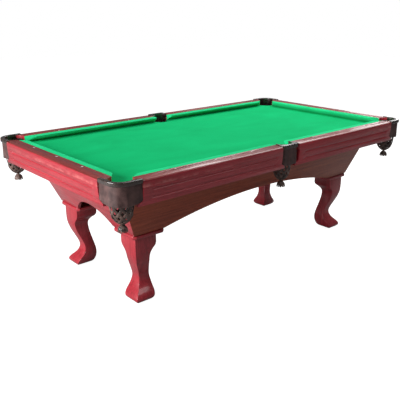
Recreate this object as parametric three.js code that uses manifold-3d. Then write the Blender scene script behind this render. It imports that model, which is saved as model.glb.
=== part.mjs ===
// An eight-foot pool table with six leather drop pockets, in millimetres.
// The origin is on the floor under the middle of the bed. +X runs along the table and +Z is up.
// Near is -Y, far is +Y, left is -X and right is +X.
import * as THREE from "three";
import { mergeVertices } from "three/addons/utils/BufferGeometryUtils.js";
import Module from "manifold-3d";

const wasm = await Module();
wasm.setup();

// Bed
const playLength = 2235; // cushion nose to cushion nose
const playWidth = 1117.5;
const bedHeight = 805; // floor to the top of the cloth
const clothThickness = 1.2;
const slateThickness = 25.4;
const slateOverhang = 76; // slate past the cushion noses
const seat = 0.3; // between pieces that rest on each other

// Rails and cushions
const railWidth = 78;
const railTopAboveBed = 40;
const railEdgeRound = 10;
const cushionDepth = 48; // wood to nose
const cushionDrop = 1.5; // cushion top below the rail top at the wood
const noseAboveBed = 36.3;
const noseSlope = 7; // height of the nose's front face
const cushionBackFoot = 0.5; // cushion back starts this far above the bed
const sightRadius = 6;
const sightDepth = 1.2;
const sightInset = 63; // rail's outer face to the middle of a sight
const sightsAlong = 8; // spaces between sights along the table
const sightsAcross = 4;

// Aprons under the rails
const apronHeight = 94;
const apronThickness = 22;
const apronLean = 9; // the bottom edge stands this far inside the top edge
const fluteDrops = [17, 60]; // apron top to the middle of each flute
const fluteRadius = 7;
const fluteDepth = 3.5;
const fluteStop = 52; // apron end to the end of a flute

// Corner pockets
const cornerMouth = 126; // between the cushion noses
const cornerFacing = THREE.MathUtils.degToRad(38); // cushion end against the rail's line
const cornerRadius = 63; // hole
const cornerWall = 22; // hole to the rail's outer face
const cornerRailCut = 160; // corner of the table to the rail's end

// Side pockets
const sideMouth = 140;
const sideFacing = THREE.MathUtils.degToRad(76);
const sideRadius = 56;
const sideWall = 18;
const sideRailGap = 154; // between the rail ends at the outer face
const sideCollarRound = 22;

// Leather of the pockets
const pocketFit = 1; // collar to wood
const rimHeight = 24;
const rimRise = 6; // rim top above the rail top
const rimBand = 21; // width of the corner rim beside the rail ends
const railTip = 118; // corner of the table to the rail's tip between the rim and the hole
const shieldInset = 8; // shield behind the rim's outer face
const shieldThickness = 5;
const shieldBottom = bedHeight - 83;
const shieldCornerRise = 22; // the shield's lower corners are cut off this high
const shieldCornerRun = 30;
const shieldCornerStep = 4; // the slant ends this far above the lower edge
const linerWall = 3;
const linerTrim = THREE.MathUtils.degToRad(9); // the liner stops this far short of the rim's ends
const linerBottom = bedHeight - 37;
const slateFit = 5; // slate's hole is this much larger than the pocket
const netWall = 3.5;
const netBottom = bedHeight - 191;
const tasselLength = 40;
const tasselShoulder = 18;
const tasselRadius = 28;
const tasselNeck = 4;
const tasselGap = 2; // net to tassel

// Cabinet
const panelThickness = 22;
const cabinetLeanX = 0.43; // outward lean of the end panels for each unit of height
const cabinetLeanY = 0.3;
const archRise = 96;
const mitreGap = 0.3;
const beamThickness = 45;
const beamDepth = 120;

// Legs
const legX = 862; // middle of the table to the leg's axis
const legY = 308;
const plateBottom = 409;
const plateThickness = 24;
const plateSide = 216;
const plateBevel = 7;
const plateCorner = 12;
const plateMargin = 4; // the cabinet's foot stands this far inside the plate's edge
const kneeOut = 88; // the leg's outer side at the knee
const blockIn = 56; // the leg's inner side at the top block
const blockBottom = 358; // where the inner side starts to curve
const soleOut = 62;

// Levelling feet
const footRadius = 19;
const footThickness = 7;
const stemRadius = 5;
const stemLength = 42;
const footFit = 1;

const railTop = bedHeight + railTopAboveBed;
const noseX = playLength / 2;
const noseY = playWidth / 2;
const woodX = noseX + cushionDepth;
const woodY = noseY + cushionDepth;
const outX = woodX + railWidth;
const outY = woodY + railWidth;
const slateTop = bedHeight - clothThickness - seat;
const slateBottom = slateTop - slateThickness;
const cornerInset = cornerRadius + cornerWall;
const cornerX = outX - cornerInset;
const cornerY = outY - cornerInset;
const sideY = outY - sideWall - sideRadius;
const cornerNoseCut = cornerMouth / Math.SQRT2; // nose corner to the cushion's end, along the nose
const cornerWoodCut = cornerNoseCut - cushionDepth / Math.tan(cornerFacing);
const sideWoodHalf = sideMouth / 2 - cushionDepth / Math.tan(sideFacing);
const sideOutHalf = sideRailGap / 2;
const sideEndSlant = (sideOutHalf - sideWoodHalf) / railWidth;
const cornerEndSlant = (noseX - cornerWoodCut - (outX - cornerRailCut)) / railWidth;
const plateTop = plateBottom + plateThickness;

const wood = { color: 0x7a2a26, roughness: 0.3, metalness: 0 };
const frameWood = { color: 0x8a6a48, roughness: 0.8, metalness: 0 };
const felt = { color: 0x12b070, roughness: 0.95, metalness: 0 };
const stone = { color: 0x55585c, roughness: 0.7, metalness: 0 };
const leather = { color: 0x3a2a22, roughness: 0.45, metalness: 0 };
const steel = { color: 0x9a9c9e, roughness: 0.35, metalness: 1 };

const table = new THREE.Group();

// ---- Helpers: solids, cuts and placing

function toSolid(geometry) {
  if (geometry instanceof wasm.Manifold) return geometry;
  const bare = geometry.index ? geometry.toNonIndexed() : geometry.clone();
  bare.deleteAttribute("normal");
  bare.deleteAttribute("uv");
  const merged = mergeVertices(bare, 1e-3);
  const vertProperties = merged.attributes.position.array;
  const triVerts = new Uint32Array(merged.index.array);
  return new wasm.Manifold(new wasm.Mesh({ numProp: 3, vertProperties, triVerts }));
}

function toGeometry(solid) {
  const mesh = solid.getMesh();
  const geometry = new THREE.BufferGeometry();
  geometry.setAttribute("position", new THREE.BufferAttribute(mesh.vertProperties, 3));
  geometry.setIndex(new THREE.BufferAttribute(mesh.triVerts, 1));
  geometry.computeVertexNormals();
  return geometry;
}

// Cuts and joins take geometries or solids, and give a solid.
function cut(piece, ...tools) {
  return tools.reduce((left, tool) => left.subtract(toSolid(tool)), toSolid(piece));
}

function join(piece, ...others) {
  return others.reduce((left, other) => left.add(toSolid(other)), toSolid(piece));
}

function common(piece, ...others) {
  return others.reduce((left, other) => left.intersect(toSolid(other)), toSolid(piece));
}

function outline(points) {
  return new THREE.Shape(points.map(([x, y]) => new THREE.Vector2(x, y)));
}

function extrude(shape, depth, curveSegments = 8) {
  return new THREE.ExtrudeGeometry(shape, { depth, curveSegments, bevelEnabled: false });
}

// A plan outline raised from one height to another.
function upright(shape, bottom, top, curveSegments) {
  return extrude(shape, top - bottom, curveSegments).translate(0, 0, bottom);
}

// A section drawn in Y and Z, run along X.
function alongX(section, from, to, curveSegments) {
  const turn = new THREE.Matrix4().makeBasis(
    new THREE.Vector3(0, 1, 0),
    new THREE.Vector3(0, 0, 1),
    new THREE.Vector3(1, 0, 0),
  );
  return extrude(section, to - from, curveSegments).applyMatrix4(turn).translate(from, 0, 0);
}

// A section drawn in X and Z, run along Y.
function alongY(section, from, to, curveSegments) {
  const turn = new THREE.Matrix4().makeBasis(
    new THREE.Vector3(1, 0, 0),
    new THREE.Vector3(0, 0, 1),
    new THREE.Vector3(0, -1, 0),
  );
  return extrude(section, to - from, curveSegments).applyMatrix4(turn).translate(0, to, 0);
}

function cylinder(radius, bottom, top, x = 0, y = 0, sides = 32) {
  const geometry = new THREE.CylinderGeometry(radius, radius, top - bottom, sides);
  return geometry.rotateX(Math.PI / 2).translate(x, y, (bottom + top) / 2);
}

// A profile of radii and heights, turned about the Z axis.
function turned(profile, sides) {
  const points = profile.map(([radius, height]) => new THREE.Vector2(radius, height));
  return new THREE.LatheGeometry(points, sides).rotateX(Math.PI / 2);
}

// A box whose corners are moved: place gets each corner as three signs.
function board(place) {
  const geometry = new THREE.BoxGeometry(2, 2, 2);
  const corners = geometry.attributes.position;
  for (let i = 0; i < corners.count; i++) {
    const [x, y, z] = place(corners.getX(i), corners.getY(i), corners.getZ(i));
    corners.setXYZ(i, x, y, z);
  }
  return geometry;
}

function add(name, piece, finish, group = table) {
  const geometry = piece instanceof wasm.Manifold ? toGeometry(piece) : piece;
  const mesh = new THREE.Mesh(geometry, new THREE.MeshStandardMaterial(finish));
  mesh.name = name;
  group.add(mesh);
  return mesh;
}

// A group that holds a mirrored copy of what is drawn for the far right quarter.
function mirrored(signX, signY) {
  const group = new THREE.Group();
  group.scale.set(signX, signY, 1);
  table.add(group);
  return group;
}

// ---- Bed: three slates under one cloth

function bedOutline(fromX, toX) {
  const halfY = noseY + slateOverhang;
  return outline([[fromX, -halfY], [toX, -halfY], [toX, halfY], [fromX, halfY]]);
}

function pocketHoles(bottom, top) {
  const holes = [];
  for (const signY of [-1, 1]) {
    holes.push(cylinder(sideRadius + slateFit, bottom, top, 0, signY * sideY));
    for (const signX of [-1, 1]) {
      const radius = cornerRadius + slateFit;
      holes.push(cylinder(radius, bottom, top, signX * cornerX, signY * cornerY));
    }
  }
  return holes;
}

const slateHalf = noseX + slateOverhang;
const slateThird = (2 * slateHalf) / 3;
["slate_left", "slate_middle", "slate_right"].forEach((name, i) => {
  const from = -slateHalf + i * slateThird + (i > 0 ? seat / 2 : 0);
  const to = -slateHalf + (i + 1) * slateThird - (i < 2 ? seat / 2 : 0);
  const blank = upright(bedOutline(from, to), slateBottom, slateTop);
  add(name, cut(blank, ...pocketHoles(slateBottom - 1, slateTop + 1)), stone);
});
const clothBlank = upright(bedOutline(-slateHalf, slateHalf), slateTop + seat, bedHeight);
add("bed_cloth", cut(clothBlank, ...pocketHoles(slateTop - 1, bedHeight + 1)), felt);

// ---- Rails, cushions and aprons, drawn for the +X and +Y sides

// Rail section: the first value is the distance outward from the cushion line.
function railSection(wall) {
  const bottom = bedHeight + seat;
  const shape = new THREE.Shape();
  shape.moveTo(wall, bottom);
  shape.lineTo(wall + railWidth, bottom);
  shape.lineTo(wall + railWidth, railTop - railEdgeRound);
  const roundFrom = wall + railWidth - railEdgeRound;
  shape.absarc(roundFrom, railTop - railEdgeRound, railEdgeRound, 0, Math.PI / 2);
  shape.lineTo(wall, railTop);
  return shape;
}

function cushionSection(wall) {
  const nose = wall - cushionDepth;
  const back = wall - seat;
  const top = bedHeight + noseAboveBed;
  return outline([
    [back, bedHeight + cushionBackFoot],
    [back, railTop - cushionDrop],
    [nose + noseSlope, top + 2],
    [nose, top],
    [nose + noseSlope / 2, top - noseSlope],
  ]);
}

function apronSection(face) {
  const top = bedHeight;
  const bottom = top - apronHeight;
  return outline([
    [face, top],
    [face - apronThickness, top],
    [face - apronThickness - apronLean, bottom],
    [face - apronLean, bottom],
  ]);
}

// Seen from outside: one apron end goes down beside the leather shield and then under its cut corner.
function apronEnd(end, sign) {
  const under = end + sign * shieldCornerRun;
  const low = shieldBottom + shieldCornerStep - 3 * pocketFit;
  return [
    [under, bedHeight - apronHeight],
    [under, low],
    [end, low + shieldCornerRise - shieldCornerStep],
    [end, bedHeight],
  ];
}

function flute(from, to, drop) {
  const length = to - from - 2 * fluteRadius;
  const out = fluteRadius - fluteDepth - (apronLean * drop) / apronHeight;
  const geometry = new THREE.CapsuleGeometry(fluteRadius, length, 4, 12);
  return geometry.rotateZ(Math.PI / 2).translate((from + to) / 2, out, bedHeight - drop);
}

function sight(x, y) {
  return cylinder(sightRadius, railTop - sightDepth, railTop + 1, x, y, 16);
}

// A rail, its cushion and its apron along X, facing +Y, between two ends.
// Each end holds its place at the nose, at the wood and at the outer face, the corners of the
// rail's end from the wood line outwards, and the middle of a hole that the rail's tip clears.
function sideRun(left, right, sights) {
  const rail = common(
    upright(outline([...right.railEnd, ...left.railEnd.toReversed()]), bedHeight, railTop + 1),
    alongX(railSection(woodY), left.out - cornerRailCut, right.out + cornerRailCut),
  );
  const cushion = common(
    upright(outline([
      [left.nose, noseY], [right.nose, noseY], [right.wood, woodY], [left.wood, woodY],
    ]), bedHeight, railTop + 1),
    alongX(cushionSection(woodY), left.wood - cornerRailCut, right.wood + cornerRailCut),
  );
  const apron = common(
    alongY(outline([
      ...apronEnd(left.out, -1), ...apronEnd(right.out, 1).reverse(),
    ]), outY - 2 * apronThickness, outY + 1),
    alongX(apronSection(outY), left.out - cornerRailCut, right.out + cornerRailCut),
  );
  const flutes = fluteDrops.map((drop) =>
    flute(left.out + fluteStop, right.out - fluteStop, drop).translate(0, outY, 0),
  );
  const holeRadius = cornerRadius + linerWall + pocketFit;
  const holes = [left, right].filter((end) => end.hole).map((end) =>
    cylinder(holeRadius, bedHeight - 1, railTop + 1, end.hole, cornerY, 64),
  );
  return {
    rail: cut(rail, ...holes, ...sights.map((x) => sight(x, outY - sightInset))),
    cushion,
    apron: cut(apron, ...flutes),
  };
}

// An end at a corner of the table: half is the run's half length over the rails' outer faces.
function cornerEnd(half) {
  const nose = half - railWidth - cushionDepth;
  const out = half - cornerRailCut;
  const tip = half - railTip;
  const notch = outY - rimBand - pocketFit;
  return {
    nose: nose - cornerNoseCut,
    wood: nose - cornerWoodCut,
    out,
    railEnd: [[tip, woodY], [tip, notch], [out, notch], [out, outY]],
    hole: half - cornerInset,
  };
}

const middleEnd = {
  nose: sideMouth / 2,
  wood: sideWoodHalf,
  out: sideOutHalf,
  railEnd: [[sideWoodHalf, woodY], [sideOutHalf, outY]],
};
const longRun = sideRun(
  middleEnd,
  cornerEnd(outX),
  [1, 2, 3].map((i) => (i * playLength) / sightsAlong),
);

// The end run is drawn along X like the side run, for a table as wide as this one is long.
function endRun() {
  const shift = outY - outX;
  const end = cornerEnd(outY);
  const start = {
    nose: -end.nose,
    wood: -end.wood,
    out: -end.out,
    railEnd: end.railEnd.map(([x, y]) => [-x, y]),
    hole: -end.hole,
  };
  const run = sideRun(start, end, [-1, 0, 1].map((i) => (i * playWidth) / sightsAcross));
  const atEnd = {};
  for (const [piece, solid] of Object.entries(run)) {
    atEnd[piece] = toGeometry(solid).translate(0, -shift, 0).rotateZ(-Math.PI / 2);
  }
  return atEnd;
}

const shortRun = endRun();
const quarterGroups = [
  ["near_left", mirrored(-1, -1)],
  ["near_right", mirrored(1, -1)],
  ["far_left", mirrored(-1, 1)],
  ["far_right", mirrored(1, 1)],
];
const endGroups = [
  ["left_end", mirrored(-1, 1)],
  ["right_end", mirrored(1, 1)],
];
for (const [run, groups] of [[longRun, quarterGroups], [shortRun, endGroups]]) {
  for (const [place, group] of groups) {
    add("rail_" + place, run.rail, wood, group);
    add("cushion_" + place, run.cushion, felt, group);
    add("apron_" + place, run.apron, wood, group);
  }
}

// ---- Pockets, drawn round the middle of the hole

function ringSector(inner, outer, from, to) {
  const shape = new THREE.Shape();
  shape.absarc(0, 0, outer, from, to, false);
  shape.absarc(0, 0, inner, to, from, true);
  shape.closePath();
  return shape;
}

// The collar's arms follow the slanted rail ends: depth is counted from the outer face.
function cornerArm(depth) {
  return cornerRailCut - cornerInset - pocketFit - cornerEndSlant * depth;
}

// The corner collar's outer side is two straight arms joined by a round corner.
function cornerSkirt(inset, thickness) {
  const face = cornerInset - inset;
  const arm = cornerArm(inset + thickness);
  const shape = new THREE.Shape();
  shape.moveTo(-arm, face);
  shape.lineTo(0, face);
  shape.absarc(0, 0, face, Math.PI / 2, 0, true);
  shape.lineTo(face, -arm);
  shape.lineTo(face - thickness, -arm);
  shape.absarc(0, 0, face - thickness, 0, Math.PI / 2, false);
  shape.lineTo(-arm, face - thickness);
  shape.closePath();
  return shape;
}

function cornerRim() {
  const arm = cornerArm(0);
  const woodIn = noseX - cornerWoodCut - cornerX + pocketFit;
  const woodLine = woodY - cornerY;
  const mouth = Math.acos(-Math.sqrt(1 - (woodLine / cornerRadius) ** 2));
  const shape = new THREE.Shape();
  shape.moveTo(-arm, cornerInset);
  shape.lineTo(0, cornerInset);
  shape.absarc(0, 0, cornerInset, Math.PI / 2, 0, true);
  shape.lineTo(cornerInset, -arm);
  shape.lineTo(woodLine, woodIn);
  shape.absarc(0, 0, cornerRadius, Math.PI / 2 - mouth, mouth, false);
  shape.lineTo(woodIn, woodLine);
  shape.closePath();
  return { shape, from: Math.PI / 2 - mouth, to: mouth };
}

function sideArm(depth) {
  return sideOutHalf - pocketFit - sideEndSlant * depth;
}

// The side shield is flat in front, and its round ends turn back between the aprons.
const sideFace = sideWall + sideRadius;
const shieldReturn = 40; // depth of the shield's ends behind the outer face
const sideShieldHalf = sideArm(shieldReturn);

function sideSkirt(inset, thickness) {
  const face = sideFace - inset;
  const half = sideShieldHalf;
  const round = sideCollarRound;
  const back = sideFace - shieldReturn;
  const shape = new THREE.Shape();
  shape.moveTo(half, back);
  shape.lineTo(half, face - round);
  shape.absarc(half - round, face - round, round, 0, Math.PI / 2, false);
  shape.absarc(round - half, face - round, round, Math.PI / 2, Math.PI, false);
  shape.lineTo(-half, back);
  shape.lineTo(thickness - half, back);
  shape.absarc(round - half, face - round, round - thickness, Math.PI, Math.PI / 2, true);
  shape.absarc(half - round, face - round, round - thickness, Math.PI / 2, 0, true);
  shape.lineTo(half - thickness, back);
  shape.closePath();
  return shape;
}

function sideRim() {
  const round = sideCollarRound;
  const half = sideArm(round);
  const woodHalf = sideArm(railWidth);
  const woodLine = woodY - sideY;
  const mouth = Math.asin(woodLine / sideRadius);
  const shape = new THREE.Shape();
  shape.moveTo(woodHalf, woodLine);
  shape.lineTo(half, sideFace - round);
  shape.absarc(half - round, sideFace - round, round, 0, Math.PI / 2, false);
  shape.absarc(round - half, sideFace - round, round, Math.PI / 2, Math.PI, false);
  shape.lineTo(-woodHalf, woodLine);
  shape.absarc(0, 0, sideRadius, Math.PI - mouth, mouth, true);
  shape.closePath();
  return { shape, from: mouth, to: Math.PI - mouth };
}

// The room that a rail's tip takes out of the corner rim, up to two limits in plan.
function tipRoom(limitX, limitY) {
  const shape = outline([
    [-cornerRailCut, -cornerRailCut], [limitX, -cornerRailCut],
    [limitX, limitY], [-cornerRailCut, limitY],
  ]);
  return upright(shape, bedHeight, railTop + 2 * rimRise);
}

// The shield's lower corners are cut off at a slant, seen square to the face.
function shieldCorner(end, sign) {
  return outline([
    [end + sign, shieldBottom - 1],
    [end + sign, shieldBottom + shieldCornerRise],
    [end - sign * shieldCornerRun, shieldBottom + shieldCornerStep],
    [end - sign * shieldCornerRun, shieldBottom - 1],
  ]);
}

function collar(rim, skirt, radius, slants, rooms = []) {
  const rimTop = railTop + rimRise;
  const rimBottom = rimTop - rimHeight;
  const top = cut(upright(rim.shape, rimBottom, rimTop), ...rooms);
  const apronShield = cut(upright(skirt, shieldBottom, rimBottom + 1), ...slants);
  const liner = ringSector(radius, radius + linerWall, rim.from + linerTrim, rim.to - linerTrim);
  return join(top, apronShield, upright(liner, linerBottom, rimBottom + 1, 20));
}

// The net's cup: the radii follow the hole it hangs under.
function net(radius) {
  const top = linerBottom - seat;
  const outside = [
    [radius + linerWall, top],
    [radius, top - 55],
    [0.87 * radius, netBottom + 42],
    [0.55 * radius, netBottom + 12],
    [0.22 * radius, netBottom],
  ];
  const inside = outside.map(([r, z]) => [r - netWall, z + (z < top ? netWall : 0)]);
  const floor = netBottom + netWall;
  return turned([[0, netBottom], ...outside.reverse(), ...inside, [0, floor], [0, netBottom]], 20);
}

// The tassel hangs from a small neck, which lets it swing clear of the net.
function tassel() {
  const top = netBottom - tasselGap;
  return turned([
    [0, top - tasselLength],
    [tasselRadius, top - tasselLength],
    [0.88 * tasselRadius, top - 0.42 * tasselLength],
    [tasselShoulder, top - 0.2 * tasselLength],
    [tasselNeck, top],
    [0, top],
  ], 16);
}

const rimLine = cornerInset - rimBand;
const tipLine = cornerInset - railTip + pocketFit;
const shieldArm = cornerArm(shieldInset + shieldThickness);
const cornerCollar = collar(cornerRim(), cornerSkirt(shieldInset, shieldThickness), cornerRadius, [
  alongY(shieldCorner(-shieldArm, -1), 0, 2 * cornerInset),
  alongX(shieldCorner(-shieldArm, -1), 0, 2 * cornerInset),
], [tipRoom(tipLine, rimLine), tipRoom(rimLine, tipLine)]);
for (const [place, group] of quarterGroups) {
  const pocket = new THREE.Group();
  pocket.position.set(cornerX, cornerY, 0);
  group.add(pocket);
  add("pocket_collar_" + place, cornerCollar, leather, pocket);
  add("pocket_net_" + place, net(cornerRadius), leather, pocket);
  add("pocket_tassel_" + place, tassel(), leather, pocket);
}

const sideCollar = collar(sideRim(), sideSkirt(shieldInset, shieldThickness), sideRadius, [
  alongY(shieldCorner(-sideShieldHalf, -1), 0, 2 * cornerInset),
  alongY(shieldCorner(sideShieldHalf, 1), 0, 2 * cornerInset),
]);
for (const [place, signY] of [["near_middle", -1], ["far_middle", 1]]) {
  const pocket = new THREE.Group();
  pocket.position.set(0, sideY, 0);
  mirrored(1, signY).add(pocket);
  add("pocket_collar_" + place, sideCollar, leather, pocket);
  add("pocket_net_" + place, net(sideRadius), leather, pocket);
  add("pocket_tassel_" + place, tassel(), leather, pocket);
}

// ---- Cabinet: four leaning panels, mitred at the corners, with arched lower edges

const cabinetBottom = plateTop + seat;
const cabinetTop = slateBottom - seat;

function cabinetHalfX(z) {
  return legX + plateSide / 2 - plateMargin + cabinetLeanX * (z - cabinetBottom);
}

function cabinetHalfY(z) {
  return legY + plateSide / 2 - plateMargin + cabinetLeanY * (z - cabinetBottom);
}

function leaningPanel(halfLength, halfFace) {
  return board((x, y, z) => {
    const height = z < 0 ? cabinetBottom : cabinetTop;
    const inside = y < 0 ? panelThickness : 0;
    return [x * (halfLength(height) - inside - mitreGap), halfFace(height) - inside, height];
  });
}

function arch(halfSpan) {
  const radius = (halfSpan ** 2 + archRise ** 2) / (2 * archRise);
  const angle = Math.asin(halfSpan / radius);
  const centre = cabinetBottom + archRise - radius;
  const shape = new THREE.Shape();
  shape.absarc(0, centre, radius, Math.PI / 2 - angle, Math.PI / 2 + angle, false);
  shape.lineTo(-halfSpan, cabinetBottom - 1);
  shape.lineTo(halfSpan, cabinetBottom - 1);
  shape.closePath();
  return shape;
}

const sideArch = arch(legX - plateSide / 2);
const endArch = arch(legY - plateSide / 2);
const sidePanel = cut(leaningPanel(cabinetHalfX, cabinetHalfY), alongY(sideArch, 0, outY, 24));
const endPanel = cut(leaningPanel(cabinetHalfY, cabinetHalfX), alongY(endArch, 0, outX, 16));
add("cabinet_side_near", sidePanel, wood, mirrored(1, -1));
add("cabinet_side_far", sidePanel, wood, mirrored(1, 1));
add("cabinet_left_end", endPanel, wood).rotation.z = Math.PI / 2;
add("cabinet_right_end", endPanel, wood).rotation.z = -Math.PI / 2;

// Cross beams reach from side panel to side panel under the slate seams and over the legs.
const beamPlaces = [
  ["left_leg", -legX],
  ["left_seam", -slateThird / 2],
  ["right_seam", slateThird / 2],
  ["right_leg", legX],
];
for (const [place, x] of beamPlaces) {
  const beam = board((sx, sy, sz) => {
    const height = sz < 0 ? cabinetTop - beamDepth : cabinetTop;
    const reach = cabinetHalfY(height) - panelThickness - mitreGap;
    return [(sx * beamThickness) / 2, sy * reach, height];
  });
  add("cross_beam_" + place, beam, frameWood).position.x = x;
}

// ---- Legs: the same curve sawn on both faces of a square block

// Each point is a distance out from the leg's axis and a height above the floor.
const legOuterCurve = [
  [84, 8], [92, 27], [78, 51], [50, 82], [35, 115], [35, 147], [51, 191], [73, 245], [85, 292],
  [kneeOut, 339],
];
const legInnerCurve = [
  [-50, 342], [-28, 320], [-15, 298], [-13, 269], [-19, 222], [-33, 159], [-43, 111], [-45, 74],
  [-38, 39], [-24, 13], [0, 0],
];

function legProfile() {
  const top = plateBottom - seat;
  const vectors = (points) => points.map(([out, height]) => new THREE.Vector2(out, height));
  const shape = new THREE.Shape();
  shape.moveTo(0, 0);
  shape.lineTo(soleOut, 0);
  shape.splineThru(vectors(legOuterCurve));
  shape.lineTo(kneeOut, top);
  shape.lineTo(-blockIn, top);
  shape.lineTo(-blockIn, blockBottom);
  shape.splineThru(vectors(legInnerCurve));
  return shape;
}

const legSection = legProfile();
const soleMiddle = soleOut / 2;
const boreTop = footThickness + stemLength + footFit;
const legBlank = common(
  alongY(legSection, -2 * plateSide, 2 * plateSide, 2),
  alongX(legSection, -2 * plateSide, 2 * plateSide, 2),
);
const leg = cut(
  legBlank,
  cylinder(footRadius + footFit, -1, footThickness + footFit, soleMiddle, soleMiddle),
  cylinder(stemRadius + footFit / 2, -1, boreTop, soleMiddle, soleMiddle, 16),
);
const foot = join(
  cylinder(footRadius, 0, footThickness, soleMiddle, soleMiddle),
  cylinder(stemRadius, footThickness - 1, footThickness + stemLength, soleMiddle, soleMiddle, 16),
);

function plate() {
  const half = plateSide / 2 - plateBevel;
  const corner = plateCorner;
  const shape = outline([
    [half - corner, -half], [half, corner - half], [half, half - corner], [half - corner, half],
    [corner - half, half], [-half, half - corner], [-half, corner - half], [corner - half, -half],
  ]);
  return new THREE.ExtrudeGeometry(shape, {
    depth: plateThickness - 2 * plateBevel,
    bevelThickness: plateBevel,
    bevelSize: plateBevel,
    bevelSegments: 3,
  }).translate(0, 0, plateBottom + plateBevel);
}

for (const [place, group] of quarterGroups) {
  const corner = new THREE.Group();
  corner.position.set(legX, legY, 0);
  group.add(corner);
  add("leg_" + place, leg, wood, corner);
  add("leg_plate_" + place, plate(), wood, corner);
  add("levelling_foot_" + place, foot, steel, corner);
}

export default table;
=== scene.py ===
import math

import bpy
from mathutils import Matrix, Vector


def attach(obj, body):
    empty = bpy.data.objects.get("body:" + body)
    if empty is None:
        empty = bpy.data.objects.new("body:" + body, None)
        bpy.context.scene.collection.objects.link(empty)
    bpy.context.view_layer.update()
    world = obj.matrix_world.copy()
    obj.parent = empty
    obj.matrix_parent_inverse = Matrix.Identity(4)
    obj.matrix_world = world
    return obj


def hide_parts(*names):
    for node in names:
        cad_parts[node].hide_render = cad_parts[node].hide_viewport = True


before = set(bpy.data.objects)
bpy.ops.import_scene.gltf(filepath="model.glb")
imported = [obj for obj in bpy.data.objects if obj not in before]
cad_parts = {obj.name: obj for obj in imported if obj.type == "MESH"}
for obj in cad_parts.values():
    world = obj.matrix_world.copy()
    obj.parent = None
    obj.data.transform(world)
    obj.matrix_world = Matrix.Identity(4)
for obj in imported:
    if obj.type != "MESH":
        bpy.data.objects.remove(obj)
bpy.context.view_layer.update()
print("frame loaded")

# Camera, standing off the table's near left corner
camera = bpy.data.objects.new("camera", bpy.data.cameras.new("camera"))
bpy.context.scene.collection.objects.link(camera)
camera.location = (-2.5944, -2.8357, 1.6365)
camera.rotation_euler = (math.radians(90 - 18.84), 0, math.radians(-40.98))
camera.data.lens = 51.45
camera.data.sensor_width = 36
bpy.context.scene.camera = camera

# Signs of X and Y for each place round the table
corners = {
    "near_left": (-1, -1), "near_right": (1, -1),
    "far_left": (-1, 1), "far_right": (1, 1),
}
middles = {"near_middle": (0, -1), "far_middle": (0, 1)}
ends = {"left_end": (-1, 0), "right_end": (1, 0)}

table = {
    "outerX": 1.2435, "outerY": 0.68475,        # outer faces of the rails
    "cornerX": 1.1585, "cornerY": 0.59975,      # middle of a corner pocket's hole
    "sideY": 0.61075,                           # middle of a side pocket's hole
    "bedTop": 0.805,
    "cornerRadius": 0.063, "sideRadius": 0.056,
}


# Small tools

def deselectAll():
    if bpy.context.mode != "OBJECT":
        bpy.ops.object.mode_set(mode="OBJECT")
    bpy.ops.object.select_all(action="DESELECT")


def take(piece):
    deselectAll()
    piece.select_set(True)
    bpy.context.view_layer.objects.active = piece


def enterEdit(piece):
    take(piece)
    bpy.ops.object.mode_set(mode="EDIT")
    bpy.ops.mesh.select_all(action="DESELECT")


def leaveEdit():
    bpy.ops.object.mode_set(mode="OBJECT")


def pickVertices(piece, test):
    # Selects by place: edit mode has to be left for a moment
    bpy.ops.object.mode_set(mode="OBJECT")
    for part in (piece.data.polygons, piece.data.edges, piece.data.vertices):
        part.foreach_set("select", [False] * len(part))
    for vertex in piece.data.vertices:
        vertex.select = test(vertex.co)
    bpy.ops.object.mode_set(mode="EDIT")
    bpy.ops.mesh.select_mode(type="VERT")


def mergedCopy(node, name):
    # A CAD node's mesh is loose triangles, so the copy is merged and its flat faces joined
    piece = bpy.data.objects.new(name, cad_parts[node].data.copy())
    bpy.context.scene.collection.objects.link(piece)
    piece.data.name = name
    piece.data.materials.clear()
    take(piece)
    bpy.ops.mesh.customdata_custom_splitnormals_clear()
    enterEdit(piece)
    bpy.ops.mesh.select_all(action="SELECT")
    bpy.ops.mesh.remove_doubles(threshold=0.00002)
    bpy.ops.mesh.dissolve_limited(angle_limit=math.radians(0.4))
    leaveEdit()
    return piece


def applyModifiers(piece):
    take(piece)
    for modifier in list(piece.modifiers):
        bpy.ops.object.modifier_apply(modifier=modifier.name)


def roundEdges(piece, width, segments=2, sharper=30):
    bevel = piece.modifiers.new("rounded", "BEVEL")
    bevel.width = width
    bevel.segments = segments
    bevel.limit_method = "ANGLE"
    bevel.angle_limit = math.radians(sharper)
    applyModifiers(piece)


def smooth(piece, angle):
    take(piece)
    bpy.ops.object.shade_smooth_by_angle(angle=math.radians(angle))


def finishPiece(piece, material, body, stands=()):
    piece.data.materials.append(material)
    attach(piece, body)
    if stands:
        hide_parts(*stands)
    return piece


def joinPieces(first, others):
    deselectAll()
    for piece in (first, *others):
        piece.select_set(True)
    bpy.context.view_layer.objects.active = first
    bpy.ops.object.join()


def meshPiece(name, points, faces):
    mesh = bpy.data.meshes.new(name)
    mesh.from_pydata(points, [], faces)
    piece = bpy.data.objects.new(name, mesh)
    bpy.context.scene.collection.objects.link(piece)
    return piece


def outwards(piece):
    enterEdit(piece)
    bpy.ops.mesh.select_all(action="SELECT")
    bpy.ops.mesh.remove_doubles(threshold=0.000005)
    bpy.ops.mesh.normals_make_consistent(inside=False)
    leaveEdit()


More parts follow.
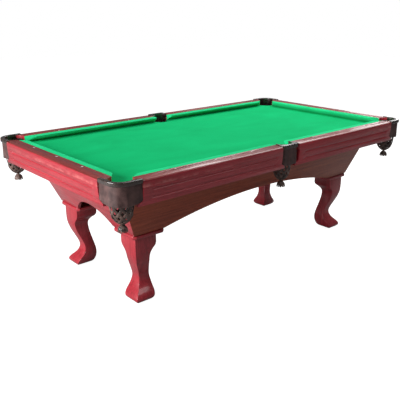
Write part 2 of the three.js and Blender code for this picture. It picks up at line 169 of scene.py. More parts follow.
def strapMesh(lines, closed=False):
    # Each line is a list of (middle, across, out): the strap's middle and its two half vectors
    points, faces = [], []
    for line in lines:
        first = len(points)
        for middle, across, out in line:
            for side, lift in ((-1, -1), (1, -1), (1, 1), (-1, 1)):
                points.append(tuple(middle + side * across + lift * out))
        count = len(line)
        for i in range(count if closed else count - 1):
            here = first + 4 * i
            there = first + 4 * ((i + 1) % count)
            for k in range(4):
                m = (k + 1) % 4
                faces.append((here + k, here + m, there + m, there + k))
        if not closed:
            last = first + 4 * (count - 1)
            faces.append((first + 3, first + 2, first + 1, first))
            faces.append((last, last + 1, last + 2, last + 3))
    return points, faces


def bandRing(middle, radius, half, thickness, sides):
    ring = []
    for i in range(sides):
        angle = 2 * math.pi * i / sides
        outward = Vector((math.cos(angle), math.sin(angle), 0))
        ring.append((middle + outward * radius, Vector((0, 0, half)), outward * thickness))
    return ring


# Materials

def startMaterial(name, **fixed):
    material = bpy.data.materials.new(name)
    material.use_nodes = True
    surface = material.node_tree.nodes["Principled BSDF"]
    for socket, value in fixed.items():
        surface.inputs[socket.replace("_", " ")].default_value = value
    return material, material.node_tree, surface


def addNode(tree, kind, settings=None, **inputs):
    node = tree.nodes.new(kind)
    for key, value in (settings or {}).items():
        setattr(node, key, value)
    for socket, value in inputs.items():
        place = node.inputs[int(socket[1:])] if socket[1:].isdigit() else node.inputs[socket]
        if isinstance(value, bpy.types.NodeSocket):
            tree.links.new(value, place)
        else:
            place.default_value = value
    return node


def objectPlace(tree, scale=(1, 1, 1)):
    place = addNode(tree, "ShaderNodeTexCoord").outputs["Object"]
    return addNode(tree, "ShaderNodeMapping", Vector=place, Scale=scale).outputs[0]


def noise(tree, place, scale, detail=4, roughness=0.55, distortion=0.0):
    return addNode(
        tree, "ShaderNodeTexNoise", Vector=place, Scale=scale, Detail=detail,
        Roughness=roughness, Distortion=distortion,
    ).outputs["Fac"]


def ramp(tree, value, stops):
    node = addNode(tree, "ShaderNodeValToRGB", Fac=value)
    band = node.color_ramp
    for i, (place, colour) in enumerate(stops):
        stop = band.elements[i] if i < 2 else band.elements.new(place)
        stop.position = place
        stop.color = (*colour, 1)
    return node.outputs["Color"]


def remap(tree, value, low, high, toLow, toHigh):
    return addNode(
        tree, "ShaderNodeMapRange", i0=value, i1=low, i2=high, i3=toLow, i4=toHigh,
    ).outputs[0]


def blendColours(tree, kind, amount, first, second):
    node = addNode(tree, "ShaderNodeMix", {"data_type": "RGBA", "blend_type": kind}, i0=amount)
    for value, place in ((first, node.inputs[6]), (second, node.inputs[7])):
        if isinstance(value, bpy.types.NodeSocket):
            tree.links.new(value, place)
        else:
            place.default_value = (*value, 1)
    return node.outputs[2]


def bump(tree, surface, height, strength, distance, under=None):
    node = addNode(tree, "ShaderNodeBump", Strength=strength, Distance=distance, Height=height)
    if under:
        tree.links.new(under, node.inputs["Normal"])
    tree.links.new(node.outputs[0], surface.inputs["Normal"])
    return node.outputs[0]


mahogany = {
    "dark": (0.25, 0.012, 0.019), "middle": (0.37, 0.022, 0.034), "light": (0.45, 0.034, 0.048),
    # the worn colour lightens sharp edges: partly real wear, partly a painted highlight along the
    # edges
    "worn": (0.8, 0.3, 0.27), "roughness": 0.34, "coat": 0.6, "coatRoughness": 0.09,
    "specular": 0.3, "figureShare": 0.28, "poreDepth": 0.0004,
    # pattern scale along the grain and across it
    "streaks": (1.3, 34), "figure": (0.45, 4), "pores": (18, 420),
}
sidePanel = {
    "dark": (0.24, 0.036, 0.012), "middle": (0.35, 0.062, 0.024), "light": (0.43, 0.085, 0.034),
    "coat": 0.15,
}
# Darker, browner tones for the upward faces of the rail caps: painted shade on the same mahogany
shadedRailCap = {
    "dark": (0.13, 0.013, 0.013), "middle": (0.22, 0.023, 0.021), "light": (0.3, 0.04, 0.034),
    "coat": 0.4,
}


def alongGrain(tree, axis, scales):
    along, across = scales
    return objectPlace(tree, [along if axis == letter else across for letter in "XYZ"])


def mahoganyAlong(axis, tones=mahogany, name="mahoganyAlong"):
    material, tree, surface = startMaterial(
        name + axis, Coat_Weight=tones["coat"],
        Coat_Roughness=mahogany["coatRoughness"], Specular_IOR_Level=mahogany["specular"],
    )
    streaks = noise(tree, alongGrain(tree, axis, mahogany["streaks"]), 2.2, 8, 0.62, 0.6)
    broad = noise(tree, alongGrain(tree, axis, mahogany["figure"]), 1.6, 3, 0.5, 1.4)
    mixed = addNode(
        tree, "ShaderNodeMix", Factor=mahogany["figureShare"], A=streaks, B=broad,
    ).outputs[0]
    body = ramp(tree, mixed, [
        (0.34, tones["dark"]), (0.66, tones["light"]), (0.5, tones["middle"]),
    ])
    pores = noise(tree, alongGrain(tree, axis, mahogany["pores"]), 2, 2)
    poreShade = ramp(tree, pores, [(0.36, (0.45, 0.4, 0.4)), (0.47, (1, 1, 1))])
    coloured = blendColours(tree, "MULTIPLY", 0.7, body, poreShade)
    # Sharp edges are lightened with the worn colour: partly wear, partly a painted highlight along
    # the edges
    edge = addNode(tree, "ShaderNodeNewGeometry").outputs["Pointiness"]
    rubbedAndHighlight = noise(tree, objectPlace(tree), 14, 4)
    edgeWearAndHighlight = addNode(
        tree, "ShaderNodeMath", {"operation": "MULTIPLY"},
        i0=remap(tree, edge, 0.56, 0.66, 0, 1), i1=remap(tree, rubbedAndHighlight, 0.42, 0.7, 0, 0.5),
    ).outputs[0]
    tree.links.new(
        blendColours(tree, "MIX", edgeWearAndHighlight, coloured, mahogany["worn"]),
        surface.inputs["Base Color"],
    )
    tree.links.new(
        remap(tree, streaks, 0.3, 0.7, mahogany["roughness"] + 0.03, mahogany["roughness"] - 0.03),
        surface.inputs["Roughness"],
    )
    bump(tree, surface, pores, 0.08, mahogany["poreDepth"])
    return material


def timberMaterial():
    material, tree, surface = startMaterial("sawnTimber", Roughness=0.75)
    grain = noise(tree, objectPlace(tree, (30, 1.5, 30)), 2, 7, 0.6, 0.8)
    tree.links.new(
        ramp(tree, grain, [(0.3, (0.3, 0.19, 0.1)), (0.7, (0.62, 0.45, 0.27))]),
        surface.inputs["Base Color"],
    )
    bump(tree, surface, grain, 0.3, 0.001)
    return material


cloth = {
    "threads": 560, "napScale": 260, "sheenTint": (0.1, 1, 0.5, 1),
    "roughness": 0.95, "sheen": 0.06, "sheenRoughness": 0.4, "specular": 0.03,
}
bedShades = {"shade": (0.001, 0.34, 0.105), "light": (0.004, 0.5, 0.17)}
# The cushions take the bed's cloth in lighter tones: a painted highlight for light falling on the
# cushion tops
cushionPaintedLightShades = {"shade": (0.004, 0.47, 0.17), "light": (0.03, 0.66, 0.27)}


def threadWave(tree, direction):
    return addNode(
        tree, "ShaderNodeTexWave", {"bands_direction": direction}, Vector=objectPlace(tree),
        Scale=cloth["threads"], Distortion=0.6, Detail=1,
    ).outputs["Fac"]


def clothMaterial(name, shades):
    material, tree, surface = startMaterial(
        name, Roughness=cloth["roughness"], Sheen_Weight=cloth["sheen"],
        Sheen_Roughness=cloth["sheenRoughness"], Sheen_Tint=cloth["sheenTint"],
        Specular_IOR_Level=cloth["specular"],
    )
    worn = noise(tree, objectPlace(tree, (1, 1.6, 1)), 2.4, 5, 0.6, 0.4)
    nap = noise(tree, objectPlace(tree, (1, 2.4, 1)), cloth["napScale"], 3, 0.7)
    mixed = addNode(tree, "ShaderNodeMix", Factor=0.35, A=worn, B=nap).outputs[0]
    weave = addNode(
        tree, "ShaderNodeMath", {"operation": "MULTIPLY"},
        i0=threadWave(tree, "X"), i1=threadWave(tree, "Y"),
    ).outputs[0]
    body = ramp(tree, mixed, [(0.25, shades["shade"]), (0.75, shades["light"])])
    threadShade = ramp(tree, weave, [(0.0, (0.86, 0.9, 0.86)), (0.8, (1, 1, 1))])
    tree.links.new(
        blendColours(tree, "MULTIPLY", 0.5, body, threadShade), surface.inputs["Base Color"]
    )
    soft = bump(tree, surface, nap, 0.25, 0.0005)
    bump(tree, surface, weave, 0.2, 0.0002, soft)
    return material


# Each hide's pale edge colour is partly wear, partly a painted highlight on the rolled edges
collarHide = {
    "deep": (0.04, 0.018, 0.017), "middle": (0.115, 0.058, 0.053), "rubbedAndHighlight": (0.34, 0.22, 0.17),
    "roughness": 0.5, "coat": 0.12,
}
rimHide = {
    "deep": (0.009, 0.005, 0.004), "middle": (0.03, 0.016, 0.013), "rubbedAndHighlight": (0.2, 0.13, 0.1),
    "roughness": 0.24, "coat": 1.0,
}
netHide = {
    "deep": (0.012, 0.006, 0.005), "middle": (0.045, 0.024, 0.019), "rubbedAndHighlight": (0.26, 0.16, 0.13),
    "roughness": 0.45, "coat": 0.2,
}
leatherGrain = {"cells": 420, "creases": 70, "mottle": 26, "coatRoughness": 0.2, "specular": 0.4}


def leatherMaterial(name, leather):
    material, tree, surface = startMaterial(
        name, Coat_Weight=leather["coat"], Coat_Roughness=leatherGrain["coatRoughness"],
        Specular_IOR_Level=leatherGrain["specular"],
    )
    place = objectPlace(tree)
    cells = addNode(
        tree, "ShaderNodeTexVoronoi", {"feature": "DISTANCE_TO_EDGE"}, Vector=place,
        Scale=leatherGrain["cells"],
    ).outputs["Distance"]
    mottled = noise(tree, place, leatherGrain["mottle"], 6, 0.6)
    creases = noise(tree, objectPlace(tree, (1, 1, 0.35)), leatherGrain["creases"], 4, 0.6, 1.5)
    # Sharp edges turn pale: partly wear, partly a painted highlight
    edge = addNode(tree, "ShaderNodeNewGeometry").outputs["Pointiness"]
    wearAndHighlight = addNode(
        tree, "ShaderNodeMath", {"operation": "MULTIPLY"},
        i0=remap(tree, edge, 0.51, 0.6, 0, 1), i1=remap(tree, mottled, 0.4, 0.65, 0.1, 0.8),
    ).outputs[0]
    body = ramp(tree, mottled, [(0.35, leather["deep"]), (0.7, leather["middle"])])
    tree.links.new(
        blendColours(tree, "MIX", wearAndHighlight, body, leather["rubbedAndHighlight"]), surface.inputs["Base Color"]
    )
    tree.links.new(
        remap(tree, mottled, 0.3, 0.7, leather["roughness"] - 0.08, leather["roughness"] + 0.12),
        surface.inputs["Roughness"],
    )
    folded = bump(tree, surface, creases, 0.35, 0.0016)
    bump(tree, surface, cells, 0.3, 0.0005, folded)
    return material


def slateMaterial():
    material, tree, surface = startMaterial("honedSlate", Roughness=0.6)
    layers = noise(tree, objectPlace(tree, (3, 3, 40)), 3, 8, 0.65)
    tree.links.new(
        ramp(tree, layers, [(0.3, (0.06, 0.065, 0.075)), (0.7, (0.15, 0.16, 0.17))]),
        surface.inputs["Base Color"],
    )
    bump(tree, surface, layers, 0.15, 0.0008)
    return material


def steelMaterial():
    material, tree, surface = startMaterial("zincSteel", Metallic=1.0)
    turned = noise(tree, objectPlace(tree, (1, 1, 60)), 40, 3)
    tree.links.new(
        ramp(tree, turned, [(0.3, (0.42, 0.43, 0.45)), (0.7, (0.66, 0.67, 0.68))]),
        surface.inputs["Base Color"],
    )
    tree.links.new(remap(tree, turned, 0.3, 0.7, 0.28, 0.45), surface.inputs["Roughness"])
    return material


def pearlMaterial():
    material, tree, surface = startMaterial(
        "pearlInlay", Roughness=0.18, Coat_Weight=0.6, Coat_Roughness=0.05,
    )
    layers = noise(tree, objectPlace(tree, (1, 1, 1)), 130, 5, 0.6, 2.2)
    tree.links.new(
        ramp(tree, layers, [
            (0.3, (0.78, 0.66, 0.62)), (0.7, (0.92, 0.93, 0.86)), (0.5, (0.74, 0.84, 0.82)),
        ]),
        surface.inputs["Base Color"],
    )
    bump(tree, surface, layers, 0.05, 0.0003)
    return material


woodX = mahoganyAlong("X")
woodY = mahoganyAlong("Y")
woodZ = mahoganyAlong("Z")
capX = mahoganyAlong("X", shadedRailCap, "railCapAlong")
capY = mahoganyAlong("Y", shadedRailCap, "railCapAlong")
sideWood = mahoganyAlong("X", sidePanel, "sidePanelAlong")
timber = timberMaterial()
bedGreen = clothMaterial("bedCloth", bedShades)
cushionPaintedLightGreen = clothMaterial("cushionClothPaintedLight", cushionPaintedLightShades)
collarLeather = leatherMaterial("collarLeather", collarHide)
rimLeather = leatherMaterial("rimLeather", rimHide)
netLeather = leatherMaterial("netLeather", netHide)
slateStone = slateMaterial()
steel = steelMaterial()
pearl = pearlMaterial()
print("materials made")


# Woodwork: merged copies of the CAD solids with eased edges

woodwork = {
    "railEdge": 0.002, "apronEdge": 0.0016, "panelEdge": 0.003, "legEdge": 0.0065,
    "plateEdge": 0.002, "capTurn": 0.6,    # upward part of a normal
}


def easedWood(node, name, edge, material, segments, sharper=30, seen=35):
    piece = mergedCopy(node, name)
    roundEdges(piece, edge, segments, sharper)
    smooth(piece, seen)
    return finishPiece(piece, material, "table", (node,))


def splitShadedTops(piece, material, steepest):
    # Faces that look sideways take the second material, the plain wood; the upward faces keep the
    # darker cap tones, a painted shade on the rail tops
    piece.data.materials.append(material)
    for face in piece.data.polygons:
        if abs(face.normal.z) < steepest:
            face.material_index = 1


for place in (*corners, *ends):
    capWood, apronWood = (capX, woodX) if place in corners else (capY, woodY)
    cap = easedWood("rail_" + place, "shadedRailCap_" + place, woodwork["railEdge"], capWood, 3)
    splitShadedTops(cap, apronWood, woodwork["capTurn"])
    easedWood("apron_" + place, "flutedApron_" + place, woodwork["apronEdge"], apronWood, 2, 40)
for place, grainMaterial in (
    ("side_near", sideWood), ("side_far", sideWood), ("left_end", woodY), ("right_end", woodY),
):
    easedWood("cabinet_" + place, "archedPanel_" + place, woodwork["panelEdge"], grainMaterial, 3)
for place in corners:
    easedWood("leg_" + place, "sawnLeg_" + place, woodwork["legEdge"], woodZ, 3, 40, 50)
    easedWood("leg_plate_" + place, "mouldedPlate_" + place, woodwork["plateEdge"], woodX, 2, 40)
print("woodwork done")

for name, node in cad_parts.items():
    kept = None
    if name.startswith("cross_beam"):
        kept = timber
    elif name.startswith("slate"):
        kept = slateStone
    elif name.startswith("levelling"):
        kept = steel
    if kept:
        node.data.materials.clear()
        node.data.materials.append(kept)


# Sights: small pearl discs let into the rail tops

sightInlay = {
    "radius": 0.0057, "thickness": 0.0011, "edge": 0.0004, "inset": 0.063,
    "spacing": 0.279375, "seat": 0.84385, "sides": 28,
}


def sightDiscs(name, places):
    deselectAll()
    discs = []
    for x, y in places:
        bpy.ops.mesh.primitive_cylinder_add(
            vertices=sightInlay["sides"], radius=sightInlay["radius"],
            depth=sightInlay["thickness"],
            location=(x, y, sightInlay["seat"] + sightInlay["thickness"] / 2),
        )
        disc = bpy.context.object
        roundEdges(disc, sightInlay["edge"], 3)
        discs.append(disc)
    joined = discs[0]
    joinPieces(joined, discs[1:])
    joined.name = joined.data.name = name
    bpy.ops.object.transform_apply(location=True, rotation=True, scale=True)
    smooth(joined, 50)
    return finishPiece(joined, pearl, "table")


for place, (signX, signY) in corners.items():
    sightDiscs("sights_" + place, [
        (signX * i * sightInlay["spacing"], signY * (table["outerY"] - sightInlay["inset"]))
        for i in (1, 2, 3)
    ])
for place, (signX, _) in ends.items():
    sightDiscs("sights_" + place, [
        (signX * (table["outerX"] - sightInlay["inset"]), i * sightInlay["spacing"])
        for i in (-1, 0, 1)
    ])
print("sights done")


# Cushions: rubber with cloth pulled tight over it

# noseX and noseY: vertices nearer the table's middle than this belong to the nose
cushion = {"noseRound": 0.0028, "noseSegments": 4, "noseX": 1.14, "noseY": 0.58, "fill": 1.0}
for place in (*corners, *ends):
    piece = mergedCopy("cushion_" + place, "clothCushion_" + place)
    axis, limit = (1, cushion["noseY"]) if place in corners else (0, cushion["noseX"])
    enterEdit(piece)
    pickVertices(piece, lambda co: abs(co[axis]) < limit)
    bpy.ops.mesh.bevel(
        offset=cushion["noseRound"], segments=cushion["noseSegments"], affect="EDGES",
    )
    leaveEdit()
    smooth(piece, 60)
    finishPiece(piece, cushionPaintedLightGreen, "table", ("cushion_" + place,))
print("cushions done")


# Bed cloth: one sheet stretched over the slates and turned down into each pocket

bedSheet = {
    "thickness": 0.0012, "holeExtra": 0.005, "reach": 0.0004, "flat": (1.2695, 2.387),
    "turn": [(0.0004, 0.0009), (0.0008, 0.0006), (0.0128, 0.0)],  # steps down and inwards
}


def pocketPlaces():
    places = []
    for signX, signY in corners.values():
        places.append((signX * table["cornerX"], signY * table["cornerY"], table["cornerRadius"]))
    for signX, signY in middles.values():
        places.append((0.0, signY * table["sideY"], table["sideRadius"]))
    return places


sheetPiece = mergedCopy("bed_cloth", "stretchedCloth")
enterEdit(sheetPiece)
pickVertices(sheetPiece, lambda co: co.z < table["bedTop"] - bedSheet["thickness"] / 2)
bpy.ops.mesh.delete(type="VERT")
leaveEdit()
for x, y, radius in pocketPlaces():
    enterEdit(sheetPiece)
    reach = radius + bedSheet["holeExtra"] + bedSheet["reach"]
    pickVertices(
        sheetPiece,
        lambda co: math.hypot(co.x - x, co.y - y) < reach and co.z > table["bedTop"] - 0.0001,
    )
    for down, inwards in bedSheet["turn"]:
        bpy.ops.mesh.extrude_region_move(TRANSFORM_OT_translate={"value": (0, 0, -down)})
        share = 1 - inwards / (radius + bedSheet["holeExtra"])
        bpy.ops.transform.resize(value=(share, share, 1), center_override=(x, y, table["bedTop"]))
    leaveEdit()
outwards(sheetPiece)
wall = sheetPiece.modifiers.new("thickness", "SOLIDIFY")
wall.thickness = bedSheet["thickness"]
wall.offset = -1
applyModifiers(sheetPiece)
smooth(sheetPiece, 12)
finishPiece(sheetPiece, bedGreen, "table", ("bed_cloth",))
print("bed cloth done")


# Pocket rims: the padded leather top of each casting, with its liner

pocketRim = {
    "split": 0.8285, "round": 0.0095, "roundSegments": 6,
    "linerReach": 0.0045, "linerOverlap": 0.006,
}


def leatherRim(place, x, y, radius):
    node = "pocket_collar_" + place
    rim = mergedCopy(node, "rim_" + place)
    enterEdit(rim)
    bpy.ops.mesh.select_all(action="SELECT")
    bpy.ops.mesh.bisect(
        plane_co=(0, 0, pocketRim["split"]), plane_no=(0, 0, 1), use_fill=True, clear_inner=True,
    )
    leaveEdit()
    roundEdges(rim, pocketRim["round"], pocketRim["roundSegments"], 40)
    liner = mergedCopy(node, "liner_" + place)
    enterEdit(liner)
    bpy.ops.mesh.select_all(action="SELECT")
    bpy.ops.mesh.bisect(
        plane_co=(0, 0, pocketRim["split"] + pocketRim["linerOverlap"]), plane_no=(0, 0, 1),
        use_fill=False, clear_outer=True,
    )
    limit = radius + pocketRim["linerReach"]
    pickVertices(liner, lambda co: math.hypot(co.x - x, co.y - y) > limit)
    bpy.ops.mesh.delete(type="VERT")
    bpy.ops.mesh.select_all(action="SELECT")
    bpy.ops.mesh.delete_loose()
    bpy.ops.mesh.select_all(action="SELECT")
    bpy.ops.mesh.fill_holes(sides=0)
    bpy.ops.mesh.select_all(action="SELECT")
    bpy.ops.mesh.normals_make_consistent(inside=False)
    leaveEdit()
    joinPieces(rim, [liner])
    smooth(rim, 60)
    return finishPiece(rim, rimLeather, "table", (node,))


for place, (signX, signY) in corners.items():
    leatherRim(place, signX * table["cornerX"], signY * table["cornerY"], table["cornerRadius"])
for place, (_, signY) in middles.items():
    leatherRim(place, 0.0, signY * table["sideY"], table["sideRadius"])
print("rims done")


# Shields: leather aprons that hang from the rims and wrap the corners

shield = {
    "top": 0.8325, "bottom": 0.7235, "endBottom": 0.745, "slantRun": 0.03, "slantStep": 0.003,
    "thickness": 0.0032, "columns": 72, "rows": 22, "flare": 0.0016, "edge": 0.0009,
    "cornerSag": 0.008, "sideSag": 0.004, "sagCurve": 1.6,
    "foldFrom": 0.08, "foldDeepens": 0.6,       # shares of the way down
    "cornerFace": 0.0755, "cornerArm": 0.0825,
    "sideFace": 0.0645, "sideHalf": 0.0648, "sideRound": 0.0205, "sideBack": 0.0345,
    # place along the shield from -1 to 1, half width, height outwards
    "cornerFolds": [(-0.3, 0.05, 0.0022), (-0.16, 0.07, -0.0012), (0.02, 0.08, 0.0014),
                    (0.2, 0.06, -0.0012), (0.34, 0.05, 0.0018), (0.62, 0.1, -0.0008)],
    "sideFolds": [(-0.62, 0.07, 0.0012), (-0.3, 0.12, -0.0008), (0.05, 0.1, 0.0008),
                  (0.36, 0.1, -0.0008), (0.64, 0.06, 0.0014)],
}


def cornerPath(share):
    # Plan place and outward direction, at a share from -1 to 1 of the way along
    face, arm = shield["cornerFace"], shield["cornerArm"]
    turn = face * math.pi / 2
    total = 2 * arm + turn
    along = (share + 1) / 2 * total
    if along < arm:
        return (-arm + along, face), (0, 1), total
    if along > arm + turn:
        return (face, -(along - arm - turn)), (1, 0), total
    angle = math.pi / 2 - (along - arm) / face
    return (
        (face * math.cos(angle), face * math.sin(angle)),
        (math.cos(angle), math.sin(angle)), total,
    )


def sidePath(share):
    face, half = shield["sideFace"], shield["sideHalf"]
    bend, back = shield["sideRound"], shield["sideBack"]
    turn = bend * math.pi / 2
    straight = face - bend - back
    front = 2 * (half - bend)
    total = 2 * (straight + turn) + front
    along = abs(share) * total / 2
    sign = 1 if share >= 0 else -1
    if along < front / 2:
        return (sign * along, face), (0, 1), total
    along -= front / 2
    if along < turn:
        angle = math.pi / 2 - along / bend
        across = half - bend + bend * math.cos(angle)
        return (
            (sign * across, face - bend + bend * math.sin(angle)),
            (sign * math.cos(angle), math.sin(angle)), total,
        )
    return (sign * half, face - bend - (along - turn)), (sign, 0), total


def leatherShield(name, path, folds, middle, signs, sag):
    points, faces = [], []
    columns, rows = shield["columns"], shield["rows"]
    for i in range(columns + 1):
        share = -1 + 2 * i / columns
        (px, py), (nx, ny), total = path(share)
        fromEnd = (1 - abs(share)) * total / 2
        slant = min(1, fromEnd / shield["slantRun"])
        low = shield["bottom"] + sag * abs(share) ** shield["sagCurve"]
        bottom = (shield["endBottom"] * (1 - slant) + (low + shield["slantStep"]) * slant
                  if slant < 1 else low)
        for j in range(rows + 1):
            down = j / rows
            z = shield["top"] + (bottom - shield["top"]) * down
            depth = min(1, max(0, (down - shield["foldFrom"]) / shield["foldDeepens"]))
            out = shield["flare"] * down ** 2
            for place, width, height in folds:
                out += height * depth * math.exp(-((share - place) / width) ** 2)
            x, y = px + nx * out, py + ny * out
            points.append((middle[0] + signs[0] * x, middle[1] + signs[1] * y, z))
    for i in range(columns):
        for j in range(rows):
            a = i * (rows + 1) + j
            faces.append((a, a + 1, a + rows + 2, a + rows + 1))
    piece = meshPiece(name, points, faces)
    # Faces look outwards on every corner, whichever way the copy is mirrored
    outer = (path(0)[1][0] * signs[0], path(0)[1][1] * signs[1], 0)
    piece.data.update()
    lead = piece.data.polygons[len(faces) // 2].normal
    if lead.dot(Vector(outer)) < 0:
        piece.data.flip_normals()
    skin = piece.modifiers.new("hide", "SOLIDIFY")
    skin.thickness = shield["thickness"]
    skin.offset = 0
    applyModifiers(piece)
    roundEdges(piece, shield["edge"], 2, 50)
    smooth(piece, 60)
    return finishPiece(piece, collarLeather, "table")


for place, signs in corners.items():
    middle = (signs[0] * table["cornerX"], signs[1] * table["cornerY"])
    leatherShield(
        "shield_" + place, cornerPath, shield["cornerFolds"], middle, signs, shield["cornerSag"],
    )
for place, (_, signY) in middles.items():
    leatherShield(
        "shield_" + place, sidePath, shield["sideFolds"], (0, signY * table["sideY"]),
        (1, signY), shield["sideSag"],
    )
print("shields done")


# Nets: leather straps woven into a cup, over and under each other

strapNet = {
    "straps": 9, "halfWidth": 0.0076, "halfThickness": 0.0009, "weave": 0.0012,
    "slope": 0.8, "steps": 34, "bottom": 0.614, "edge": 0.0004,
    "narrowFrom": 0.72, "narrowBy": 1.6, "narrowest": 0.5,      # straps thin towards the bottom
    # share of the pocket's radius, height above the floor, half width
    "bands": [(1.05, 0.761, 0.006), (0.27, 0.6188, 0.0035)],
    "bandThickness": 0.0013, "bandSides": 48, "bandInset": 0.0015,
    # share of the pocket's radius, height above the net's bottom
    "cup": [(0.0, 1.048, 0.1535), (0.3, 1.0, 0.0985), (0.6, 0.87, 0.042), (0.84, 0.55, 0.012),
            (1.0, 0.24, 0.0022)],
}


def cupPlace(share, radius):
    cup = strapNet["cup"]
    for (t0, r0, z0), (t1, r1, z1) in zip(cup, cup[1:]):
        if share <= t1:
            f = (share - t0) / (t1 - t0)
            return radius * (r0 + (r1 - r0) * f), strapNet["bottom"] + z0 + (z1 - z0) * f
    return radius * cup[-1][1], strapNet["bottom"] + cup[-1][2]


def smoothCup(share, radius):
    # The mean of near places takes the corners off the profile
    spots = [cupPlace(min(1, max(0, share + d)), radius) for d in (-0.08, -0.04, 0, 0.04, 0.08)]
    return sum(s[0] for s in spots) / 5, sum(s[1] for s in spots) / 5


def wovenNet(place, x, y, radius):
    steps = strapNet["steps"]
    inset = strapNet["halfThickness"] + strapNet["weave"]
    profile, twist = [], [0.0]
    for i in range(steps + 1):
        profile.append(smoothCup(i / steps, radius))
    for (r0, z0), (r1, z1) in zip(profile, profile[1:]):
        twist.append(twist[-1] + strapNet["slope"] * math.hypot(r1 - r0, z1 - z0) / ((r0 + r1) / 2))
    lines = []
    for way in (-1, 1):
        for s in range(strapNet["straps"]):
            start = 2 * math.pi * s / strapNet["straps"]
            line = []
            for i, (r, z) in enumerate(profile):
                angle = start + way * twist[i]
                before, after = profile[max(0, i - 1)], profile[min(steps, i + 1)]
                fall = Vector((after[0] - before[0], after[1] - before[1])).normalized()
                around = Vector((-math.sin(angle), math.cos(angle), 0))
                outward = Vector((math.cos(angle), math.sin(angle), 0))
                downhill = outward * fall.x + Vector((0, 0, fall.y))
                normal = outward * -fall.y + Vector((0, 0, fall.x))
                along = (downhill + way * strapNet["slope"] * around).normalized()
                lift = way * strapNet["weave"] * math.cos(strapNet["straps"] * twist[i])
                middle = Vector((x, y, z)) + outward * r + normal * (lift - inset)
                past = i / steps - strapNet["narrowFrom"]
                share = 1 if past < 0 else max(
                    strapNet["narrowest"], 1 - strapNet["narrowBy"] * past)
                line.append((middle, normal.cross(along) * strapNet["halfWidth"] * share,
                             normal * strapNet["halfThickness"]))
            lines.append(line)
    points, faces = strapMesh(lines)
    net = meshPiece("wovenNet_" + place, points, faces)
    outwards(net)
    bands = [
        bandRing(Vector((x, y, z)), radius * share - strapNet["bandInset"], half,
                 strapNet["bandThickness"], strapNet["bandSides"])
        for share, z, half in strapNet["bands"]
    ]
    points, faces = strapMesh(bands, True)
    band = meshPiece("netBands_" + place, points, faces)
    outwards(band)
    joinPieces(net, [band])
    roundEdges(net, strapNet["edge"], 1, 60)
    smooth(net, 50)
    return finishPiece(net, netLeather, "table", ("pocket_net_" + place,))


# Tassels: a bound bundle of leather strips under each net

tassel = {
    "top": 0.6115, "bottom": 0.5725, "outer": 13, "inner": 8, "halfThickness": 0.0009,
    "innerShare": 0.55, "innerWidth": 0.9, "innerShorter": 0.004, "innerTurn": 0.3,
    "ragged": 0.0025, "sway": 0.0016, "lean": 0.25, "edge": 0.0004,
    "boundAt": 0.6035, "boundRadius": 0.0135, "boundHalf": 0.0026, "boundThickness": 0.0014,
    "boundSides": 28,
    # share of the way down, radius of the outer strips, half width of a strip
    "shape": [(0.0, 0.0042, 0.0016), (0.1, 0.0085, 0.0028), (0.2, 0.0125, 0.0034),
              (0.34, 0.0195, 0.0042), (0.52, 0.0228, 0.0048), (0.74, 0.0245, 0.005),
              (1.0, 0.0255, 0.0046)],
}


def leatherTassel(place, x, y):
    lines = []
    for count, share, narrower, shorter, offset in (
        (tassel["outer"], 1, 1, 0, 0),
        (tassel["inner"], tassel["innerShare"], tassel["innerWidth"],
         tassel["innerShorter"], tassel["innerTurn"]),
    ):
        for s in range(count):
            angle = 2 * math.pi * (s + offset) / count
            outward = Vector((math.cos(angle), math.sin(angle), 0))
            around = Vector((-math.sin(angle), math.cos(angle), 0))
            ragged = tassel["ragged"] * (s * 7 % 5) / 4 + shorter
            line = []
            for down, radius, half in tassel["shape"]:
                z = tassel["top"] - (tassel["top"] - tassel["bottom"] - ragged) * down
                sway = tassel["sway"] * math.sin(3.1 * s) * down ** 2
                wide = half * narrower
                lean = tassel["lean"] * math.sin(2.3 * s + 1) * down
                middle = Vector((x, y, z)) + outward * (radius * share) + around * sway
                line.append((middle, (around + outward * lean).normalized() * wide,
                             outward * tassel["halfThickness"]))
            lines.append(line)
    points, faces = strapMesh(lines)
    piece = meshPiece("stripTassel_" + place, points, faces)
    ring = bandRing(
        Vector((x, y, tassel["boundAt"])), tassel["boundRadius"], tassel["boundHalf"],
        tassel["boundThickness"], tassel["boundSides"],
    )
    points, faces = strapMesh([ring], True)
    binding = meshPiece("binding_" + place, points, faces)
    joinPieces(piece, [binding])
    outwards(piece)
    roundEdges(piece, tassel["edge"], 1, 60)
    smooth(piece, 50)
    return finishPiece(
        piece, netLeather, "pocket_tassel_" + place, ("pocket_tassel_" + place,)
    )


for place, (x, y, radius) in zip((*corners, *middles), pocketPlaces()):
    wovenNet(place, x, y, radius)
    leatherTassel(place, x, y)
print("nets and tassels done")


# Floor and studio light

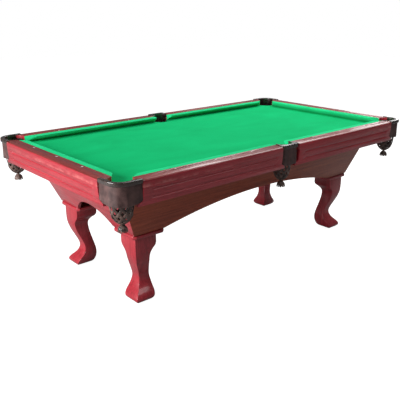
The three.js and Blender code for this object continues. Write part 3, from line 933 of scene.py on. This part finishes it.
setting = {
    "floorSize": 30, "floorDrop": 0.0005, "floorTone": (0.3, 0.3, 0.3, 1), "floorGlow": 0.96,
    "skyLight": 0.14, "skySeen": 1.0,
}
deselectAll()
bpy.ops.mesh.primitive_plane_add(size=setting["floorSize"], location=(0, 0, -setting["floorDrop"]))
floor = bpy.context.object
floor.name = "floor"
floorPaint, floorTree, floorSurface = startMaterial(
    "paleFloor", Base_Color=setting["floorTone"], Roughness=0.9, Emission_Color=(1, 1, 1, 1),
)
floorSeen = addNode(floorTree, "ShaderNodeLightPath").outputs["Is Camera Ray"]
floorTree.links.new(
    remap(floorTree, floorSeen, 0, 1, 0, setting["floorGlow"]),
    floorSurface.inputs["Emission Strength"],
)
floor.data.materials.append(floorPaint)

studio = {
    "key": {"at": (-5.4, 0.5, 2.2), "aim": (-0.9, 0, 0.6), "size": (3.6, 2.4), "power": 480},
    "top": {"at": (2.3, 0.7, 3.2), "aim": (0.8, 0.0, 0.8), "size": (4.0, 3.0), "power": 140},
    "front": {"at": (0.4, -2.8, 3.4), "aim": (0.2, -0.6, 0.7), "size": (4.0, 0.6), "power": 24},
    "glare": {"at": (4.4, 1.0, 1.5), "aim": (1.1, -0.6, 0.845), "size": (1.5, 0.7), "power": 9},
}
for name, setup in studio.items():
    lamp = bpy.data.objects.new(name + "Light", bpy.data.lights.new(name + "Light", "AREA"))
    bpy.context.scene.collection.objects.link(lamp)
    lamp.data.shape = "RECTANGLE"
    lamp.data.size, lamp.data.size_y = setup["size"]
    lamp.data.energy = setup["power"]
    lamp.location = setup["at"]
    aim = Vector(setup["aim"]) - Vector(setup["at"])
    lamp.rotation_euler = aim.to_track_quat("-Z", "Y").to_euler()
    lamp.visible_camera = False

world = bpy.data.worlds.new("studio")
world.use_nodes = True
bpy.context.scene.world = world
worldTree = world.node_tree
sky = worldTree.nodes["Background"]
sky.inputs["Color"].default_value = (1, 1, 1, 1)
seen = addNode(worldTree, "ShaderNodeLightPath").outputs["Is Camera Ray"]
worldTree.links.new(
    remap(worldTree, seen, 0, 1, setting["skyLight"], setting["skySeen"]), sky.inputs["Strength"]
)
bpy.context.scene.view_settings.view_transform = "Standard"

print("scene ready")
